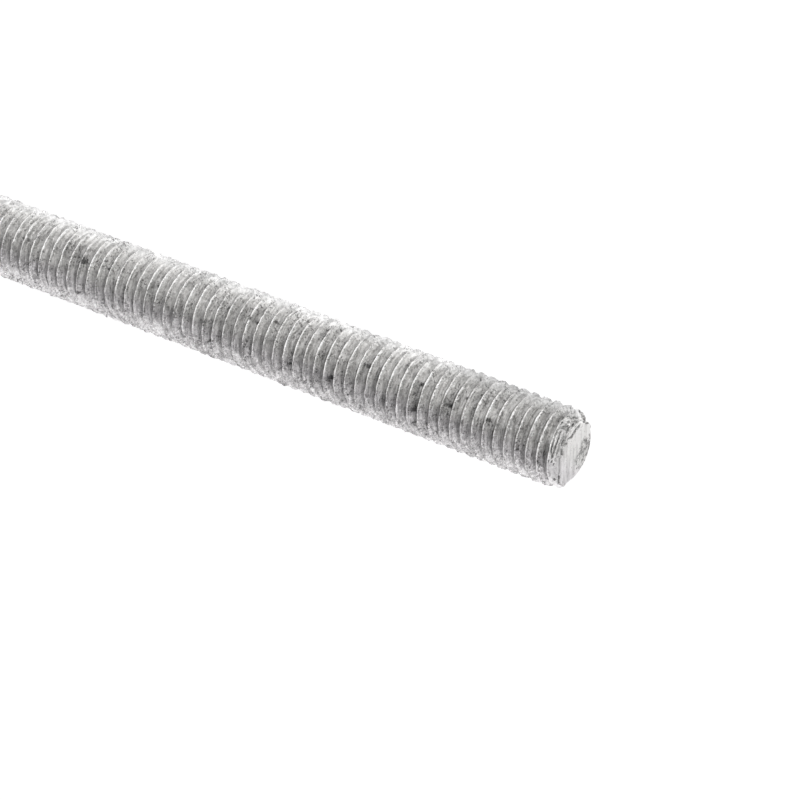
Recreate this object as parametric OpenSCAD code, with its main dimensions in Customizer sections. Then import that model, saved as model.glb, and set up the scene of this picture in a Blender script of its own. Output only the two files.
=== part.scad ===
// Galvanised steel rod with a coarse metric thread along its whole length.
// The rod stands on its lower sawn end: the origin is the centre of that end,
// the axis is +Z, and all sizes are in millimetres.

/* [Rod] */
// Length from one sawn end to the other
rod_length = 130; // [60:5:180]
// Diameter of the flat face that the chamfer leaves on each end
end_face_d = 7.1; // [6.8:0.1:7.7]
// Angle between the chamfer and the end face
chamfer_angle = 38; // [30:1:60]

/* [Thread] */
// Nominal diameter over the crests, before any allowance
thread_d = 10; // [10:0.1:14]
// Distance along the rod between neighbouring crests
pitch = 1.5; // [1.25:0.05:1.75]
// Height of the lowest crest over the lower end, on the +X side
first_crest = 0.5; // [0:0.05:1.2]
// Undersize of the rolled thread on its diameter, which leaves room for the zinc
zinc_allowance = 0.42; // [0.3:0.02:0.5]
// Thickness of the zinc coat, square to the surface
zinc_coat = 0.06; // [0.04:0.01:0.1]

/* [Hidden] */

zinc_grey = [0.66, 0.67, 0.68];

// Rolled profile of the metric thread: flats at crest and root, flanks at 30 degrees
flank_angle = 30;
rolled_crest_w = pitch / 8;
rolled_root_w = pitch / 6;
thread_depth = (pitch - rolled_crest_w - rolled_root_w) / (2 * tan(flank_angle));

// The zinc lifts every surface by its thickness, so crests widen and roots narrow
crest_r = (thread_d - zinc_allowance) / 2 + zinc_coat;
root_r = crest_r - thread_depth;
crest_gain = 2 * zinc_coat * (1 / cos(flank_angle) - tan(flank_angle));
crest_w = rolled_crest_w + crest_gain;
flank_w = thread_depth * tan(flank_angle);

// Corners of the outline along one pitch, as height and radius
corners = [
    [0, crest_r],
    [crest_w, crest_r],
    [crest_w + flank_w, root_r],
    [pitch - flank_w, root_r],
];

// The helix starts below the rod and ends above it, and the sawn blank trims both
helix_foot = first_crest - 2 * pitch;
turns = floor((rod_length - helix_foot) / pitch) + 2;
helix_top = helix_foot + turns * pitch;

// Steps to a turn, as many as the facets for the whole rod allow
facet_budget = 11600;
steps = floor(facet_budget / (2 * len(corners) * turns));
last_step = steps * turns;

// Index of a corner at one step; past its last corner the outline meets the next turn
function corner_at(step, corner) =
    corner < len(corners) ? step * len(corners) + corner : (step + steps) * len(corners);

// Two triangles of the strip between a corner and the next, over one step
function strip(step, corner) =
    let (
        low = corner_at(step, corner),
        high = corner_at(step, corner + 1),
        next_low = corner_at(step + 1, corner),
        next_high = corner_at(step + 1, corner + 1)
    )
    [[low, high, next_high], [low, next_high, next_low]];

// Triangles from a centre point to each edge of a closed loop of points
function fan(centre, loop) =
    [for (i = [0 : len(loop) - 1]) [centre, loop[i], loop[(i + 1) % len(loop)]]];

// Right-handed thread and its core, as one closed solid open to trimming at both ends
module thread_helix() {
    outer = len(corners) - 1;
    points = [
        for (step = [0 : last_step]) for (corner = corners)
            let (angle = 360 * step / steps, z = helix_foot + pitch * step / steps + corner[0])
            [corner[1] * cos(angle), corner[1] * sin(angle), z],
        [0, 0, helix_foot],
        [0, 0, helix_top],
    ];
    bottom_centre = len(points) - 2;
    top_centre = len(points) - 1;

    // Strips within the outline, then the strip that joins each turn to the one above
    walls = [
        for (step = [0 : last_step - 1]) for (corner = [0 : outer - 1]) each strip(step, corner),
        for (step = [0 : last_step - steps - 1]) each strip(step, outer),
    ];
    bottom_loop = [
        for (step = [0 : steps]) corner_at(step, 0),
        for (corner = [outer : -1 : 1]) corner_at(0, corner),
    ];
    top_loop = [
        for (corner = [0 : outer]) corner_at(last_step, corner),
        for (step = [last_step - 1 : -1 : last_step - steps]) corner_at(step, outer),
    ];
    polyhedron(
        points,
        concat(walls, fan(bottom_centre, bottom_loop), fan(top_centre, top_loop))
    );
}

// Bar between the two saw cuts, with a chamfer that runs out past the crests
module sawn_blank() {
    clear_of_crests = 0.5;
    blank_r = crest_r + clear_of_crests;
    face_r = end_face_d / 2;
    chamfer_h = (blank_r - face_r) * tan(chamfer_angle);
    rotate_extrude($fn = 64) polygon([
        [0, 0],
        [face_r, 0],
        [blank_r, chamfer_h],
        [blank_r, rod_length - chamfer_h],
        [face_r, rod_length],
        [0, rod_length],
    ]);
}

module threaded_rod() {
    color(zinc_grey) intersection() {
        sawn_blank();
        thread_helix();
    }
}

threaded_rod();
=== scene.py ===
import math

import bmesh
import bpy
import numpy as np
from mathutils import Matrix, Vector, noise


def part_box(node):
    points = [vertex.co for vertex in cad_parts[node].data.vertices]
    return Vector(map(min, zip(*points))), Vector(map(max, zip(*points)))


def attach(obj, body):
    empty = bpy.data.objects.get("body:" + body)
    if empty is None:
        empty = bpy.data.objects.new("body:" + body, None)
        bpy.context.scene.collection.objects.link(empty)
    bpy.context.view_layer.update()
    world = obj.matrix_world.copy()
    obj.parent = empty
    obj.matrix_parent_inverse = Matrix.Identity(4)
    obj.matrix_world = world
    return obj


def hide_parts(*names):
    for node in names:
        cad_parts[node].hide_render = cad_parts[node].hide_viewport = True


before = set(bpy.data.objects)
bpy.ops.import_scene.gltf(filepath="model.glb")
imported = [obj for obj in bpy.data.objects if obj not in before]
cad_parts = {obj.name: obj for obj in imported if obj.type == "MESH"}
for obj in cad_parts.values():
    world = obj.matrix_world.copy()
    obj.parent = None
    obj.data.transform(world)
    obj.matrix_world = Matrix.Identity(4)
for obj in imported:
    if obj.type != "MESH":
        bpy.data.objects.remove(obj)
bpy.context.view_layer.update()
scene = bpy.context.scene


# The rod starts as a plain steel bar. A die rolls a coarse 60 degree metric thread into
# it from end to end, right-handed and a hair under full size on the diameter, so that
# nuts still run over the zinc that comes on last. Sizes are in millimetres.
MM = 0.001
crest_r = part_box("threaded_rod")[1][0] / MM
rod_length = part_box("threaded_rod")[1][2] / MM
pitch = 1.5
thread_depth = 0.92
root_r = crest_r - thread_depth
crest_round = 0.12

# Height of the lowest crest's middle over the lower end, on the +X side
first_crest = 0.61
# Angle that a crest's rounding turns through on each side before it meets the flank
flank_turn = math.radians(60)


def on_crest(turn):
    """Height over the crest's middle and radius, after part of its rounding."""
    return crest_round * math.sin(turn), crest_r - crest_round * (1 - math.cos(turn))


# Outline of one pitch from a crest's lower shoulder upwards, as height over the crest's
# middle and radius: the rounded crest, a flank, the root and the next flank
shoulder, shoulder_r = on_crest(flank_turn)
top, top_r = on_crest(flank_turn / 3)
root_low = shoulder + (shoulder_r - root_r) / math.tan(flank_turn)
flank_mid = (shoulder + root_low) / 2
flank_mid_r = (shoulder_r + root_r) / 2
ridge = np.array([
    (-shoulder, shoulder_r), (-top, top_r), (top, top_r), (shoulder, shoulder_r),
    (flank_mid, flank_mid_r), (root_low, root_r),
    (pitch - root_low, root_r), (pitch - flank_mid, flank_mid_r),
])
corners = len(ridge)

# The helix starts below the rod and ends above it, and the sawn ends trim both
spare_turns = 2
turn_steps = 108
turns = math.floor((rod_length - first_crest) / pitch) + 2 * spare_turns
last_step = turns * turn_steps
turned = np.arange(last_step + 1) / turn_steps
heights = pitch * (turned[:, None] - spare_turns) + first_crest + ridge[None, :, 0]
radii = np.tile(ridge[:, 1], (last_step + 1, 1))
angles = np.repeat(2 * np.pi * turned[:, None], corners, axis=1)


# Both ends are sawn square and their edges ground back, which cuts the first and last
# ridge down to nothing before the flat face.
face_r = 3.55
ground_slope = math.tan(math.radians(38))
inside = np.minimum(heights, rod_length - heights)
radii = np.minimum(radii, face_r + np.maximum(inside, 0) / ground_slope)
heights = np.clip(heights, 0, rod_length)
points = np.stack([radii * np.cos(angles), radii * np.sin(angles), heights], axis=-1)

# Strips of faces along the helix, between each corner of the outline and the next one
steps = np.arange(last_step)
strips = []
for corner in range(corners - 1):
    here = steps * corners + corner
    strips.append(np.stack([here, here + corners, here + corners + 1, here + 1], axis=-1))

# The outline's last corner meets the first one of the turn above
steps = steps[:last_step - turn_steps]
here = steps * corners + corners - 1
above = (steps + turn_steps) * corners
strips.append(np.stack([here, here + corners, above + corners, above], axis=-1))
strips = np.concatenate(strips)

# Only the strips that lie between the two ends are kept
strip_heights = heights.reshape(-1)[strips]
strips = strips[(strip_heights.min(axis=1) < rod_length) & (strip_heights.max(axis=1) > 0)]

merge_gap = 0.002
mesh = bpy.data.meshes.new("threaded_rod_zinc")
mesh.from_pydata(points.reshape(-1, 3), [], strips.tolist())
bar = bmesh.new()
bar.from_mesh(mesh)
bmesh.ops.delete(bar, geom=[v for v in bar.verts if not v.link_faces], context="VERTS")
bmesh.ops.remove_doubles(bar, verts=bar.verts, dist=merge_gap)

# The shown side of the upper end is divided finer, in two steps, because its edges are torn
shown_y = 0.9
for fine_drop in (5.5, 2.2):
    fine = [e for e in bar.edges
            if all(v.co.z > rod_length - fine_drop and v.co.y < shown_y for v in e.verts)]
    bmesh.ops.subdivide_edges(bar, edges=fine, cuts=1, use_grid_fill=True)
bmesh.ops.triangulate(bar, faces=[f for f in bar.faces if len(f.verts) > 4])


def close_end(level, ring_gap):
    """Fills a sawn end with rings of faces down to its centre."""
    rim = [e for e in bar.edges if e.is_boundary and abs(e.verts[0].co.z - level) < merge_gap]
    ring = sorted({v for e in rim for v in e.verts}, key=lambda v: math.atan2(v.co.y, v.co.x))
    outline = [v.co.xy.normalized() for v in ring]
    sides = len(ring)
    for radius in np.arange(face_r - ring_gap, ring_gap / 2, -ring_gap):
        inner = [bar.verts.new((x * radius, y * radius, level)) for x, y in outline]
        for i in range(sides):
            after = (i + 1) % sides
            bar.faces.new((ring[i], ring[after], inner[after], inner[i]))
        ring = inner
    centre = bar.verts.new((0, 0, level))
    for i in range(sides):
        bar.faces.new((ring[i], ring[(i + 1) % sides], centre))


close_end(rod_length, ring_gap=0.14)
close_end(0, ring_gap=0.8)
bmesh.ops.recalc_face_normals(bar, faces=bar.faces)
bar.to_mesh(mesh)
bar.free()


# The saw and the handling left the upper end torn: burrs stand on its edge, a crack runs
# along the near side of the face, and the last ridge is scored.
count = len(mesh.vertices)
points = np.empty(count * 3, np.float32)
normals = np.empty(count * 3, np.float32)
mesh.vertices.foreach_get("co", points)
mesh.vertex_normals.foreach_get("vector", normals)
points = points.reshape(-1, 3).astype(float)
normals = normals.reshape(-1, 3)
east_of_axis, north_of_axis = points[:, 0], points[:, 1]
axis_gap = np.hypot(east_of_axis, north_of_axis)
drop = rod_length - points[:, 2]

# How far each point is lifted along its normal, how bare its zinc is, and how dark its stains and
# the painted shade in its cuts make it
lift = np.zeros(count)
soil_and_shade = np.zeros(count)
bare = np.zeros(count)


def lumps(scale, shift=0.0):
    """Smooth noise from about -1 to 1 at each point, with features of 1 / scale mm."""
    return np.array([noise.noise(Vector(p)) for p in points * scale + shift])


def step(value, low, high):
    """Goes smoothly from 0 where value is low to 1 where it is high."""
    share = np.clip((value - low) / (high - low), 0, 1)
    return share * share * (3 - 2 * share)


def on_end(angle, radius, depth):
    """A place near the upper end: degrees from the front, radius, depth below the end."""
    turn = math.radians(angle)
    return np.array([radius * math.sin(turn), -radius * math.cos(turn), rod_length - depth])


raggedness = 0.35 * lumps(4.0, 3.0)


def stroke(path, width):
    """How much of a ragged stroke along a path lies on each point, from 0 to 1."""
    ragged_width = width * (1 + raggedness)
    share = np.zeros(count)
    stops = [on_end(*stop) for stop in path]
    for start, end in zip(stops, stops[1:]):
        run = end - start
        along = np.clip((points - start) @ run / (run @ run), 0, 1)
        gap = np.linalg.norm(points - start - along[:, None] * run, axis=1)
        share = np.maximum(share, np.exp(-(gap / ragged_width) ** 2))
    return share


# Cuts into the metal: depth, width, darkness and path, whose stops are on_end's places. The darkness
# is painted shade and grime in the cut.
cuts = [
    # The crack along the near side of the face, with its gaps, and one at the right
    (0.30, 0.10, 1.0, [(-68, 3.21, 0), (-57, 3.0, 0), (-45, 2.8, 0), (-33, 2.58, 0), (-21, 2.9, 0)]),
    (0.30, 0.14, 0.9, [(-13, 3.6, 0.05), (-7, 3.6, 0.05), (-2, 3.5, 0)]),
    (0.20, 0.12, 0.8, [(-12, 2.84, 0), (-9, 2.9, 0)]),
    (0.20, 0.12, 0.8, [(-6, 3.06, 0), (-4, 3.1, 0)]),
    (0.35, 0.15, 1.0, [(66, 3.6, 0.05), (72, 3.73, 0.14), (80, 3.9, 0.28)]),
    # Scores along the ground edge and the last ridge
    (0.12, 0.25, 0.4, [(-58, 3.82, 0.21), (-43, 3.71, 0.13), (-33, 3.83, 0.22)]),
    (0.10, 0.16, 0.9, [(-46, 4.4, 1.26), (-33, 4.4, 1.08)]),
    (0.20, 0.10, 0.9, [(-6, 4.5, 0.8), (4, 4.5, 0.74), (11, 4.48, 0.68), (16, 4.3, 0.5)]),
    (0.22, 0.11, 1.0, [(-26, 4.25, 0.7), (-18, 4.22, 0.58), (-10, 4.18, 0.49), (0, 4.15, 0.45),
                       (8, 4.1, 0.38), (16, 4.15, 0.42), (23, 4.12, 0.37)]),
    # Pits in and behind the last ridge, and knocks further down
    (0.22, 0.15, 1.0, [(19, 4.0, 1.72), (23, 3.97, 1.7)]),
    (0.12, 0.12, 0.8, [(-42, 4.3, 0.55), (-41, 4.3, 0.55)]),
    (0.20, 0.16, 1.0, [(17, 4.5, 4.7), (24, 4.45, 5.0), (28, 4.35, 5.2)]),
    (0.12, 0.14, 0.9, [(18, 4.4, 4.7), (24, 4.3, 4.3)]),
    (0.10, 0.25, 0.8, [(1, 4.7, 7.2), (4, 4.6, 7.1)]),
    # Nicks in the ground edge and the last ridge
    (0.18, 0.13, 1.0, [(18, 4.21, 0.51), (23, 4.15, 0.47)]),
    (0.18, 0.13, 1.0, [(26, 4.41, 0.67), (29, 4.41, 0.67)]),
    (0.18, 0.14, 1.0, [(28, 4.06, 0.40), (31, 4.06, 0.40)]),
    (0.14, 0.12, 0.8, [(33, 3.83, 0.22), (36, 3.83, 0.20)]),
    (0.18, 0.14, 1.0, [(64, 4.07, 0.41), (67, 4.07, 0.41)]),
    (0.20, 0.15, 1.0, [(51, 4.65, 0.86), (56, 4.65, 0.86)]),
    (0.20, 0.16, 1.0, [(46, 4.8, 1.16), (50, 4.8, 1.16)]),
    (0.20, 0.16, 1.0, [(60, 4.8, 1.18), (65, 4.8, 1.18)]),
    (0.14, 0.16, 0.6, [(-52, 3.7, 0.12), (-48, 3.7, 0.12)]),
    (0.16, 0.16, 0.9, [(-31, 3.75, 0.15), (-28, 3.75, 0.15)]),
    (0.08, 0.18, 0.4, [(-61, 4.19, 0.5), (-58, 4.19, 0.5)]),
    # Scratches in the face and nicks around its left and far rim
    (0.06, 0.10, 0.8, [(4, 3.3, 0), (12, 3.0, 0), (17, 2.86, 0)]),
    (0.08, 0.14, 0.8, [(-108, 3.7, 0.1), (-95, 3.6, 0)]),
    (0.08, 0.15, 1.1, [(-90, 3.66, 0.06), (-82, 3.6, 0.05)]),
    (0.06, 0.12, 0.9, [(-131, 3.3, 0), (-137, 3.35, 0)]),
    (0.05, 0.10, 0.6, [(-140, 3.3, 0), (-149, 3.28, 0), (-162, 3.32, 0)]),
    (0.05, 0.13, 0.6, [(140, 2.8, 0), (150, 2.95, 0)]),
    (0.05, 0.08, 0.5, [(98, 2.5, 0), (108, 2.65, 0)]),
    # The large chip out of the last ridge at the left, and the notch before it
    (0.75, 0.55, 0.0, [(-93, 4.65, 0.85), (-122, 4.55, 0.8)]),
    (0.22, 0.25, 0.3, [(-86, 3.98, 0.32), (-98, 3.98, 0.32)]),
]
for depth, width, dark, path in cuts:
    share = stroke(path, width)
    lift -= depth * share
    soil_and_shade = np.maximum(soil_and_shade, dark * share)

# Burrs and blobs that stand proud: height, width, brightness and path
burrs = [
    (0.12, 0.17, 1.0, [(-60, 3.46, 0), (-43, 3.2, 0), (-32, 3.2, 0), (-22, 3.23, 0)]),
    (0.10, 0.12, 1.0, [(-22, 4.4, 0.74), (-7, 4.35, 0.56), (4, 4.3, 0.48), (9, 4.3, 0.5)]),
    (0.10, 0.16, 1.0, [(-36, 4.72, 1.2), (-20, 4.7, 1.12), (7, 4.7, 0.86), (26, 4.7, 0.75),
                       (43, 4.7, 0.72)]),
    (0.04, 0.35, 0.7, [(-25, 4.55, 1.0), (7, 4.55, 0.75), (26, 4.5, 0.65), (45, 4.5, 0.6)]),
    (0.14, 0.16, 1.0, [(52, 4.02, 0.37), (57, 4.05, 0.40)]),
    (0.14, 0.14, 1.0, [(56, 4.27, 0.56), (61, 4.27, 0.56)]),
    (0.14, 0.16, 0.7, [(64, 4.5, 0.75), (71, 4.5, 0.75)]),
    (0.14, 0.26, 0.9, [(48, 4.5, 0.9), (54, 4.4, 0.7), (60, 4.2, 0.5)]),
    (0.20, 0.36, 0.3, [(-70, 4.1, 0.6), (-66, 4.05, 0.5)]),
    (0.50, 0.60, 0.6, [(74, 3.8, 0.35), (86, 3.8, 0.35), (96, 3.75, 0.3)]),
    (0.10, 0.35, 0.5, [(-42, 4.3, 0.55), (-41, 4.3, 0.55)]),
    (0.05, 0.75, 0.9, [(-72, 4.5, 0.75), (-118, 4.6, 0.85)]),
    (0.05, 0.10, 1.0, [(100, 2.75, 0), (112, 2.95, 0)]),
    (0.32, 0.24, 0.8, [(-101, 3.62, 0.08), (-116, 3.62, 0.08)]),
]
for proud, width, shine, path in burrs:
    share = stroke(path, width)
    lift += proud * share
    bare = np.maximum(bare, shine * share)

# The near edge of the face was filed to a slope, towards the right
filed_way = np.array([0.632, -0.775, 0])
filed_from = 3.06
filed_slope = 0.7
filed_round = 0.2
filed_down_to = 1.5
past_file = np.maximum(points @ filed_way - filed_from, 0)
filed_depth = filed_slope * past_file * past_file / (past_file + filed_round)

# A shallow chip lies beside it, behind a straight side and along a short run of it
chip_way = np.array([0.660, -0.751, 0])
chip_side = np.array([0.751, 0.660, 0])
chip_from = 2.437
chip_depth = 0.12
past_chip = points @ chip_way - chip_from
chip_run = points @ chip_side
chip = step(past_chip, 0, 0.1) * step(chip_run, -2.4, -1.9) * step(-chip_run, 1.0, 1.15)
chip *= step(axis_gap, 3.8, face_r)
sunk = np.maximum(0, filed_depth - drop) + chip_depth * chip
sunk[drop > filed_down_to] = 0


# The finished rod is dipped in molten zinc, which freezes lumpy and matt, thicker on
# the ridges and in runs along the roots, and leaves chipped crests where rods knocked
# together in the bath.
on_ridge = np.clip((axis_gap - root_r) / thread_depth, 0, 1)

# Lumps of three sizes, stronger on the ridges and towards the rod's two sides, runs in
# the roots, chips out of the crests and crumbs by the upper end. Its face stays smoother.
crusted = 0.65 + 0.75 * step(np.abs(east_of_axis), 2.4, 4.2)
thicker = 0.5 + 0.6 * on_ridge
crust = (0.05 * lumps(0.5) + (0.08 * lumps(1.3) + 0.07 * lumps(2.6)) * crusted) * thicker
runs = 0.14 * np.maximum(0, lumps(0.5, 7)) * (1 - on_ridge)
chipped = 0.30 * np.maximum(0, lumps(0.9, 13) - 0.28) * on_ridge
crumbs = 0.04 * lumps(2.8, 9) * step(drop, 1.3, 0.8) * step(axis_gap, 3.5, 3.8)
on_face = step(drop, 0.10, 0.0) * step(axis_gap, 3.6, 3.4)
lift += (crust + runs - chipped + crumbs) * (1 - 0.85 * on_face)

moved = points + normals * lift[:, None]
moved[:, 2] -= sunk
moved[:, 2] = np.clip(moved[:, 2], 0, rod_length)

# The saw cut is bare, and so is the ground edge, brightest at the right
sawn = step(moved[:, 2], rod_length - 0.2, rod_length - 0.1) * step(axis_gap, 4.0, 3.6)
ground = step(moved[:, 2], rod_length - 1.15, rod_length - 0.8) * step(east_of_axis, -2.8, -1.6)
bare = np.maximum(bare, sawn)
bare = np.maximum(bare, (0.45 + 0.5 * step(east_of_axis, 0.2, 1.6)) * ground)

# A mottled dark band lies along the far side of the face, and faint painted shade in the chip
far_band = step(north_of_axis, 0.4, 1.3) * sawn
far_band *= step(east_of_axis, -2.6, -1.6) * step(east_of_axis, 2.2, 0.9)
soil_and_shade = np.maximum(soil_and_shade, 0.6 * far_band * step(lumps(1.5, 5) + 0.5 * lumps(3.5, 6), -0.6, 0.15))
soil_and_shade = np.maximum(soil_and_shade, 0.30 * chip * step(0.45 - past_chip, 0, 0.2))

# Dark stains of ash and flux on the shown side: degrees from the front, height and size
shown_stains = [
    (-10, 50.5, 0.6), (-15, 52.5, 0.6), (-33, 53.5, 0.5), (-72, 52, 0.4), (-13, 60, 0.5),
    (-8, 60.5, 0.6), (-12, 64, 0.6), (-56, 62.5, 0.4), (-56, 67, 0.4), (42, 67.5, 0.5),
    (44, 60.5, 0.5), (-14, 71.5, 0.6), (45, 79.5, 0.5), (47, 80.5, 0.5), (-15, 85.5, 0.7),
    (-15, 86.5, 0.6), (-26, 89, 0.5), (32, 92.5, 0.5), (-30, 95.5, 0.4), (-64, 96.5, 0.4),
    (29, 98.5, 0.8), (-13, 103, 0.8), (45, 106.5, 0.5), (7, 108, 0.5), (-16, 110.5, 0.7),
    (29, 110.5, 0.8), (55, 110.5, 0.5), (-13, 112.5, 0.5), (-60, 113.5, 0.5), (1, 115, 0.8),
    (-21, 116.5, 0.6), (-75, 116, 0.4), (-55, 119.5, 0.5), (41, 120, 0.4), (1, 120.5, 0.5),
    (27, 125, 0.3), (20, 125.5, 0.3), (13, 125.5, 0.3), (-53, 127, 0.6), (-48, 128.5, 0.5),
]

# The like on the back and on the front's lower part, which the photo doesn't show:
# number, range of angles, and greatest height
lowest_stain = 4
stain_sizes = (0.4, 0.7)
chance = np.random.default_rng(5)
other_stains = []
for number, from_angle, to_angle, up_to in ((60, 80, 280, 126), (20, -80, 80, 46)):
    for _ in range(number):
        other_stains.append((chance.uniform(from_angle, to_angle),
                             chance.uniform(lowest_stain, up_to), chance.uniform(*stain_sizes)))
stain_r = crest_r - 0.35
stain_dark = 0.65
for degrees, level, size in shown_stains + other_stains:
    spot = on_end(degrees, stain_r, rod_length - level)
    gap = np.linalg.norm(points - spot, axis=1)
    soil_and_shade = np.maximum(soil_and_shade, stain_dark * np.exp(-(gap / size) ** 2))

mesh.vertices.foreach_set("co", (moved * MM).reshape(-1).astype(np.float32))
for name, values in (("soil_and_shade", soil_and_shade), ("bare", bare)):
    mesh.attributes.new(name, "FLOAT", "POINT").data.foreach_set("value", values.astype(np.float32))
mesh.polygons.foreach_set("use_smooth", [True] * len(mesh.polygons))
mesh.update()
rod = bpy.data.objects.new("threaded_rod_zinc", mesh)
bpy.context.collection.objects.link(rod)


class Finish:
    """A value of a finish. Sums, differences and products of it add their own nodes."""

    def __init__(self, tree, socket=None):
        self.tree = tree
        self.socket = socket

    def node(self, kind, settings=None, values=None, output=0):
        """Adds any node: its settings first, then values or finishes for its sockets."""
        made = self.tree.nodes.new(kind)
        for name, setting in (settings or {}).items():
            setattr(made, name, setting)
        for name, value in (values or {}).items():
            if isinstance(value, Finish):
                self.tree.links.new(value.socket, made.inputs[name])
            else:
                made.inputs[name].default_value = value
        return Finish(self.tree, made.outputs[output] if made.outputs else None)

    def maths(self, operation, *values):
        """Adds a Math node."""
        return self.node("ShaderNodeMath", {"operation": operation}, dict(enumerate(values)))

    def __add__(self, other):
        return self.maths("ADD", self, other)

    def __mul__(self, other):
        return self.maths("MULTIPLY", self, other)

    def __sub__(self, other):
        return self.maths("SUBTRACT", self, other)

    def __rsub__(self, other):
        return self.maths("SUBTRACT", other, self)

    __radd__ = __add__
    __rmul__ = __mul__

    def between(self, low, high):
        """Rises smoothly from 0 at low to 1 at high."""
        values = {"Value": self, "From Min": low, "From Max": high}
        return self.node("ShaderNodeMapRange", {"interpolation_type": "SMOOTHSTEP"}, values)


def grain(where, scale, detail=2.0, rough=0.5, shift=0.0):
    """Cloudy field from 0 to 1 with features of 1 / scale millimetres."""
    if shift:
        shifted = {0: where, 1: (shift, 0, shift)}
        where = where.node("ShaderNodeVectorMath", {"operation": "ADD"}, shifted)
    values = {"Vector": where, "Scale": scale, "Detail": detail, "Roughness": rough}
    return where.node("ShaderNodeTexNoise", {}, values)


zinc = bpy.data.materials.new("zinc")
zinc.use_nodes = True
coat = Finish(zinc.node_tree)
metres = coat.node("ShaderNodeTexCoord", output="Object")
place = coat.node("ShaderNodeVectorMath", {"operation": "SCALE"}, {0: metres, "Scale": 1 / MM})
level_place = coat.node("ShaderNodeVectorMath", {"operation": "MULTIPLY"}, {0: place, 1: (1, 1, 0)})
radius = coat.node("ShaderNodeVectorMath", {"operation": "LENGTH"}, {0: level_place}, "Value")
east, north, height = (coat.node("ShaderNodeSeparateXYZ", {}, {0: place}, axis) for axis in "XYZ")
soiled_and_shaded, bared = (coat.node("ShaderNodeAttribute", {"attribute_name": name}, {}, "Fac")
                 for name in ("soil_and_shade", "bare"))

# Stretches of the rod: its two sides, the right-hand outline and the shown end, which also place
# painted light and shade
right_side = east.between(1.0, 3.8)
left_side = 1 - east.between(-3.8, -2.2)
far_right = east.between(2.8, 4.0)
near_end = height.between(rod_length - 22, rod_length - 15)

# Grain of the zinc from coarse to fine, most of it as a swing about 0
clouds = grain(place, 0.35, 3) - 0.5
mottle = grain(place, 1.4, 3, 0.6) - 0.5
sugar = grain(place, 2.8, 3, 0.7, shift=71) - 0.5
speckle = grain(place, 4.5, 2, 0.6) - 0.5
sand = grain(place, 9, 1)
grit = 0.5 * speckle + 0.5 * (sand - 0.5)

# Fine streaks that the die drew along the flanks
drawn_way = {0: east * 0.3, 1: north * 0.3, 2: radius * 5 + height * 1.3}
drawn = grain(coat.node("ShaderNodeCombineXYZ", {}, drawn_way), 1.0, 3, 0.6) - 0.5

# Crest lines, where the turns above the first crest have the fraction 0, and a painted highlight
# along them, broken into patches and kept from near the left outline to just right of the middle.
# off_crest is the distance to a line in pitches.
angle = coat.maths("ARCTAN2", north, east)
turns_up = (height - first_crest) * (1 / pitch) - angle * (1 / (2 * math.pi))
phase = coat.maths("FRACT", turns_up)
off_crest = coat.maths("ABSOLUTE", coat.maths("ABSOLUTE", phase - 0.5) - 0.5)
crest = 1 - off_crest.between(0.05, 0.10 + 0.04 * near_end)
crest = crest * radius.between(crest_r - 0.30, crest_r - 0.12)
highlight_breaks = grain(place, 1.1, shift=17).between(0.42, 0.58)
crest_highlight = crest * (0.65 - 0.25 * near_end + (0.35 + 0.25 * near_end) * highlight_breaks)
crest_highlight = crest_highlight * (1 - (east + 0.9 * near_end).between(-0.9, 1.3)) * east.between(-3.6, -1.6)

# Roots, for painted shade in them, and a darker line of painted shade in them right of the middle
root = 1 - radius.between(root_r + 0.02, root_r + 0.45)
root = root * (1 - height.between(rod_length - 0.9, rod_length - 0.7))
deep_root_shade = 1 - radius.between(root_r + 0.05, root_r + 0.5)
deep_root_shade = deep_root_shade * east.between(-0.9, 1.0) * (1 - east.between(2.0, 3.4)) * (1 - bared)

# Patches of ash and small round pits
ashes = grain(place, 0.45, shift=31).between(0.46, 0.60)
ashes = ashes * grain(place, 4, 3, 0.6, shift=11).between(0.53, 0.61)
dots = coat.node("ShaderNodeTexVoronoi", {}, {"Vector": place, "Scale": 1.7}, "Distance")
pits = (1 - dots.between(0.10, 0.22)) * grain(place, 0.9, shift=57).between(0.44, 0.52)

# Each stain on the shown side has a small dark heart, placed on the unrolled rod
# The attribute carries the stains and the painted shade in the cuts and the chip
stain_and_shade = (1.1 * soiled_and_shaded + 2.2 * speckle * soiled_and_shaded.between(0.02, 0.2)).between(0.35, 0.75)
unrolled = coat.node("ShaderNodeCombineXYZ", {}, {0: (angle + math.pi / 2) * crest_r, 1: height})
nearest = 1
for degrees, level, size in shown_stains:
    heart_at = {0: unrolled, 1: (math.radians(degrees) * crest_r, level, 0)}
    gap = coat.node("ShaderNodeVectorMath", {"operation": "DISTANCE"}, heart_at, "Value")
    nearest = coat.maths("MINIMUM", nearest, gap * (1 / size))
heart = 1 - (nearest + 0.9 * speckle).between(0.30, 0.55)
stain_and_shade = coat.maths("MAXIMUM", stain_and_shade, heart)

# Painted highlights in soft patches on the ridges of the left side, which fade towards the shown end
left_ridges = left_side * radius.between(root_r + 0.1, root_r + 0.45)
left_highlights = left_ridges * (0.06 + 0.13 * grain(place, 0.8, 1, shift=43).between(0.40, 0.58))
left_highlights = left_highlights * (1 - 0.9 * height.between(rod_length - 18, rod_length - 11))

# Tone of the plain coat, what darkens it, and the painted light and shade that change it along the
# rod and across its sides
tone = 0.67 + 0.35 * clouds + (0.75 - 0.35 * left_ridges - 0.15 * right_side) * mottle + 1.2 * drawn
tone = tone + grit * (1 + 0.6 * right_side - 0.6 * left_ridges) + 0.7 * sugar * right_side + left_highlights
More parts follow.
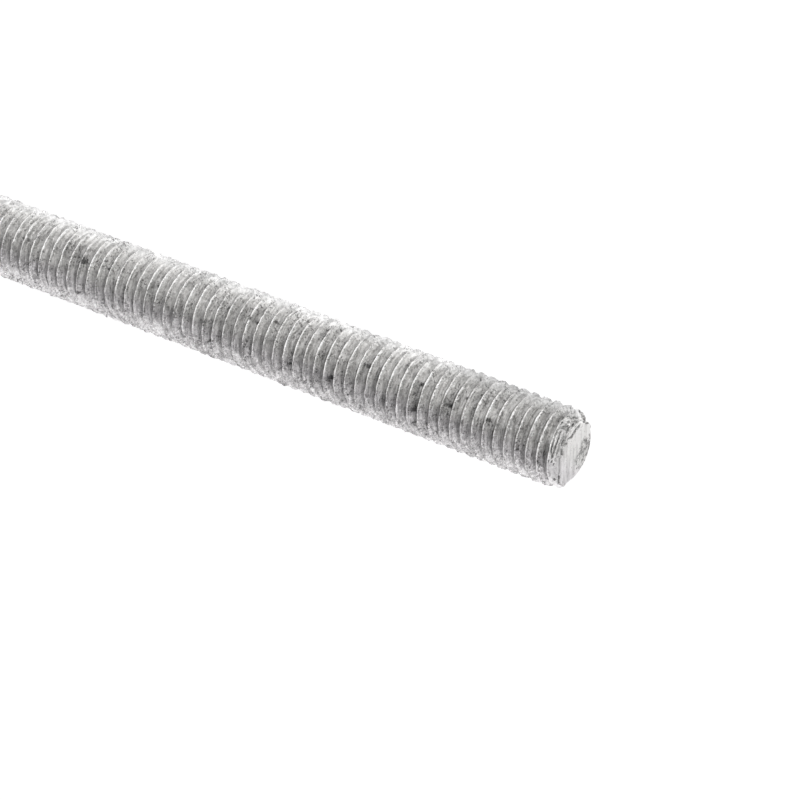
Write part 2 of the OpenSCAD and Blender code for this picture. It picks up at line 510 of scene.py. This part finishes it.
# What darkens it: ash, pits, painted shade in the roots (less on the left side, more to the right),
# the darker line of painted shade in them, and painted shade on the crests right of the middle
shades = [
    0.68 * ashes,
    (0.68 - 0.25 * left_ridges) * pits,
    root * (0.40 + 0.14 * east.between(-0.5, 1.8) - 0.15 * left_side),
    0.28 * deep_root_shade,
    0.10 * crest * east.between(-0.5, 1.5),
]
for shade in shades:
    tone = tone * (1 - shade)
# Painted highlight along the crest lines
tone = tone + 0.38 * crest_highlight
# Painted light and shade: near the shown end darker on the left side and lighter in the middle, and
# lighter along the right-hand outline away from that end
tone = tone * (1 + near_end * (0.11 - 0.28 * left_side - 0.11 * far_right))
tone = tone * (1 + 0.11 * far_right * (1 - height.between(rod_length - 55, rod_length - 30)))

# Tone of the bare end: streaks of the saw across the face, painted shade on its right side, and torn
# metal below its rim
saw_way = {"Vector": place, "Rotation": (0, 0, math.radians(40)), "Scale": (4, 0.7, 1)}
sawed = grain(coat.node("ShaderNodeMapping", {"vector_type": "TEXTURE"}, saw_way), 1.0, 3)
below_face = 1 - height.between(rod_length - 0.10, rod_length - 0.02)
bare_tone = 0.68 + 0.28 * sawed.between(0.38, 0.62) + 0.4 * speckle + 0.4 * mottle
bare_tone = bare_tone - 0.12 * right_side * (1 - below_face) + below_face * (0.30 + 2.0 * grit)
tone = tone + bared * (bare_tone - tone)
# Stains, and painted shade in the cuts and the chip, darken it
tone = tone * (1 - 0.75 * stain_and_shade)

# A painted tint of the light: a trace of yellow in the middle and of pink on the right
middle_tints = {0: east.between(0.5, 2.6), 4: (1.012, 1, 0.985), 5: (1.025, 1, 1.014)}
middle_tint = coat.node("ShaderNodeMix", {"data_type": "VECTOR"}, middle_tints, 1)
tints = {0: east.between(-4.8, -3.2), 4: (1.005, 1, 1), 5: middle_tint}
tint = coat.node("ShaderNodeMix", {"data_type": "VECTOR"}, tints, 1)

colour = coat.node("ShaderNodeVectorMath", {"operation": "SCALE"}, {0: tint, "Scale": tone})
metallic = 0.96 - bared * (0.25 + 0.45 * below_face)
roughness = 0.35 + 0.3 * mottle - 0.10 * crest - bared * (0.04 - 0.20 * below_face)
bumps = grain(place, 2.2) + 0.55 * grain(place, 5) + (0.2 + 0.5 * right_side) * sand
bump_values = {"Strength": 1.0, "Distance": 0.15 * MM, "Height": bumps * (1 - 0.75 * bared)}
normal = coat.node("ShaderNodeBump", {}, bump_values)

shader = zinc.node_tree.nodes["Principled BSDF"]
zinc.node_tree.links.new(colour.socket, shader.inputs["Base Color"])
zinc.node_tree.links.new(metallic.socket, shader.inputs["Metallic"])
zinc.node_tree.links.new(roughness.socket, shader.inputs["Roughness"])
zinc.node_tree.links.new(normal.socket, shader.inputs["Normal"])
mesh.materials.append(zinc)
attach(rod, "root")
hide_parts("threaded_rod")


# The rod stands on a plain white table, wide enough to fill every view. The table glows
# only where it is seen or mirrored, so that it looks white and still takes a shadow.
def board(name, half_width, level):
    """A level square board of the studio."""
    board_mesh = bpy.data.meshes.new(name)
    rim = [(x * half_width, y * half_width, level) for x, y in ((-1, -1), (1, -1), (1, 1), (-1, 1))]
    board_mesh.from_pydata(rim, [], [(0, 1, 2, 3)])
    made = bpy.data.objects.new(name, board_mesh)
    bpy.context.collection.objects.link(made)
    material = bpy.data.materials.new(name)
    material.use_nodes = True
    material.node_tree.nodes.clear()
    board_mesh.materials.append(material)
    return Finish(material.node_tree)


paint = board("white_table", half_width=4, level=0)
camera_ray, glossy_ray, through_ray = (
    paint.node("ShaderNodeLightPath", output=ray)
    for ray in ("Is Camera Ray", "Is Glossy Ray", "Is Transmission Ray"))
matt = paint.node("ShaderNodeBsdfDiffuse", {}, {"Color": (0.85, 0.85, 0.85, 1)})
glow = paint.node("ShaderNodeEmission", {}, {"Color": 0.5 * (camera_ray + glossy_ray + through_ray)})
both = paint.node("ShaderNodeAddShader", {}, {0: matt, 1: glow})
paint.node("ShaderNodeOutputMaterial", {}, {"Surface": both})


# A wide grey cloth hangs over the table and fades to white at its edges, so that flanks
# that face up look darker than the sides. Its dark middle is a little to the right.
cloth_height = 1.3
cloth_middle = (0.25, 0.1, cloth_height)
cloth = board("grey_cloth", half_width=3, level=cloth_height)
cloth_place = cloth.node("ShaderNodeTexCoord", output="Object")
between_places = {0: cloth_place, 1: cloth_middle}
off_middle = cloth.node("ShaderNodeVectorMath", {"operation": "DISTANCE"}, between_places, "Value")
brightness = 0.02 + 0.98 * off_middle.between(0.6, 1.9)
lit = cloth.node("ShaderNodeEmission", {}, {"Color": brightness})
cloth.node("ShaderNodeOutputMaterial", {}, {"Surface": lit})


# The surroundings are a plain white studio, lit by three soft round lamps: one at the
# left and one at the right, both behind the rod, and a weak low one before it at the left.
studio = bpy.data.worlds.new("studio")
scene.world = studio
studio.use_nodes = True
studio.node_tree.nodes["Background"].inputs["Color"].default_value = (1, 1, 1, 1)
studio.node_tree.nodes["Background"].inputs["Strength"].default_value = 1
lit_point = Vector((0, 0, 0.09))


def soft_lamp(name, place, width, energy):
    """A round lamp that shines at the upper half of the rod."""
    light = bpy.data.lights.new(name, "AREA")
    light.shape = "DISK"
    light.size = width
    light.energy = energy
    lamp = bpy.data.objects.new(name, light)
    lamp.location = place
    lamp.rotation_euler = (lit_point - lamp.location).to_track_quat("-Z", "Y").to_euler()
    bpy.context.collection.objects.link(lamp)


soft_lamp("rear_lamp", place=(-0.6, 0.75, 0.6), width=0.9, energy=1.1)
soft_lamp("right_lamp", place=(0.7, 0.8, 0.45), width=0.6, energy=1.4)
soft_lamp("side_lamp", place=(-0.85, -0.45, 0.3), width=0.6, energy=0.4)


# The camera looks down on the upper end from the front, and is rolled so that the rod
# runs across the picture with that end at the lower right.
aim = Vector((0.00156, 0, 0.10627))
distance = 0.42437
azimuth = math.radians(0.24)
elevation = math.radians(28.24)
roll = math.radians(110.79)
lens = bpy.data.cameras.new("camera")
lens.sensor_width = 36
lens.lens = 161.3
lens.clip_start = 0.01
lens.clip_end = 20
camera = bpy.data.objects.new("camera", lens)
bpy.context.collection.objects.link(camera)
scene.camera = camera
flat = Vector((-math.sin(azimuth), -math.cos(azimuth), 0))
away = flat * math.cos(elevation) + Vector((0, 0, math.sin(elevation)))
level_right = Vector((0, 0, 1)).cross(away).normalized()
right = Matrix.Rotation(roll, 3, away) @ level_right
turned_to = Matrix((right, away.cross(right), away)).transposed().to_4x4()
camera.matrix_world = Matrix.Translation(aim + away * distance) @ turned_to

scene.view_settings.view_transform = "Standard"
